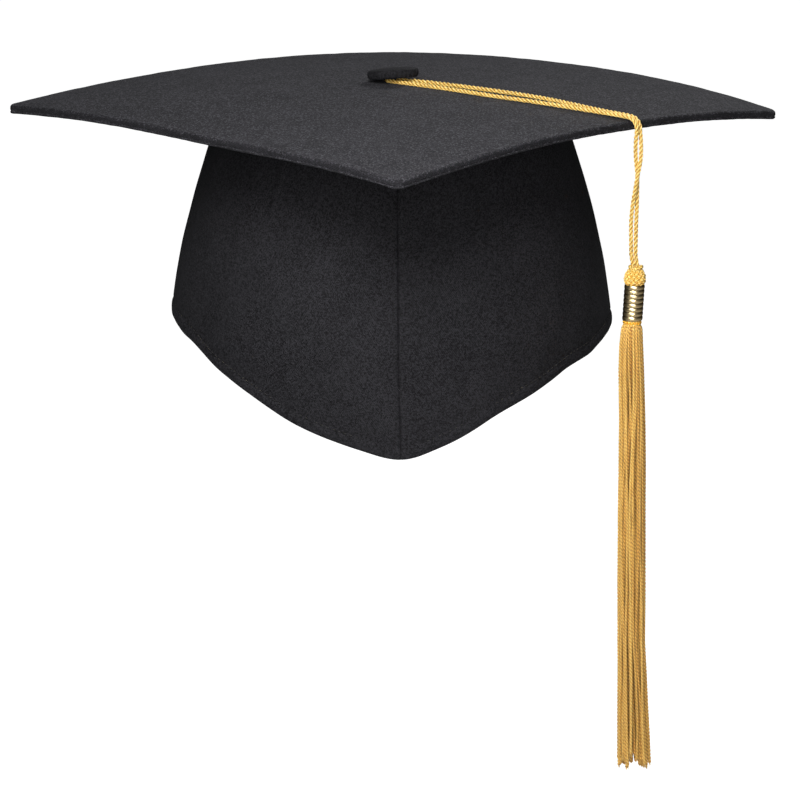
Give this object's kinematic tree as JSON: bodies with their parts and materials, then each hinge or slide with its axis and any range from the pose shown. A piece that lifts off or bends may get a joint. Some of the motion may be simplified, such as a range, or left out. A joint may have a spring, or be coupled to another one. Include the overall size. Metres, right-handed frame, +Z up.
{
  "type": "graduation cap",
  "caption": "Black graduation cap: bowed square board on a soft skullcap with a pointed front, a covered button, and a gold tassel on a twin cord.",
  "frame": {"origin": "centre of the flat crown face inside the skullcap, where it rests on the top of the head", "axes": "+Z up out of the board, -Y to the wearer's front, +X to the wearer's left"},
  "size_m": [0.3372, 0.3372, 0.3008],
  "materials": {
    "cover_cloth": "fine matt twill",
    "cap_cloth": "fine matt twill",
    "board_card": "pressed board",
    "card": "grey card",
    "lining": "thin lining cloth",
    "tape": "woven tape",
    "band": "soft band",
    "elastic": "ribbed elastic",
    "rivet": "plain steel",
    "tin": "tinned",
    "gold_cord": "glossy twisted rayon",
    "gold_metal": "polished ribs with a dark finish in the grooves",
    "orange_cord": "glossy twisted rayon",
    "gold_strand": "glossy twisted rayon"
  },
  "bodies": {
    "cap": {"board_core": "board_card", "board_cover_top": "cover_cloth", "board_cover_under": "cover_cloth", "front_panel_left": "cap_cloth", "front_panel_right": "cap_cloth", "rear_panel": "cap_cloth", "front_seam_tape": "tape", "side_seam_tapes": "tape", "sweatband": "band", "elastic_band": "elastic", "elastic_casing": "cap_cloth", "crown_lining": "lining", "crown_stiffener": "card", "rivet_post": "rivet", "rivet_washer": "rivet"},
    "button": {"button_cover": "cover_cloth", "button_shell": "tin", "button_back": "tin"},
    "cord_run": {"cord_loop_run": "gold_cord"},
    "cord_bend": {"cord_bend_legs": "gold_cord"},
    "cord_drop": {"cord_drop_legs": "gold_cord"},
    "tassel": {"tassel_knot": "gold_cord", "tassel_barrel": "gold_metal", "strand_core": "gold_cord", "neck_wrap": "orange_cord", "skirt_strands_inner": "gold_strand", "skirt_strands_outer": "gold_strand"}
  },
  "joints": [
    {"name": "button_spin", "type": "hinge", "parent": "cap", "child": "button", "pos_m": [0, 0, 0.011], "axis": [-0.0702, 0.1378, 0.988], "continuous": true},
    {"name": "tassel_turn", "type": "hinge", "parent": "cap", "child": "cord_run", "pos_m": [0, 0, 0.009], "axis": [0, 0, 1], "range_deg": [-23.5, 1]},
    {"name": "tassel_sway", "type": "hinge", "parent": "cord_run", "child": "cord_bend", "pos_m": [0.10108, -0.06742, 0.00435], "axis": [0.8277, -0.552, -0.1005], "range_deg": [-30, 30]},
    {"name": "tassel_swing", "type": "hinge", "parent": "cord_bend", "child": "cord_drop", "pos_m": [0.10483, -0.06991, -0.00167], "axis": [-0.5548, -0.832, 0], "range_deg": [0, 90]},
    {"name": "tassel_spin", "type": "hinge", "parent": "cord_drop", "child": "tassel", "pos_m": [0.10483, -0.06991, -0.063], "axis": [0, 0, 1], "continuous": true}
  ]
}
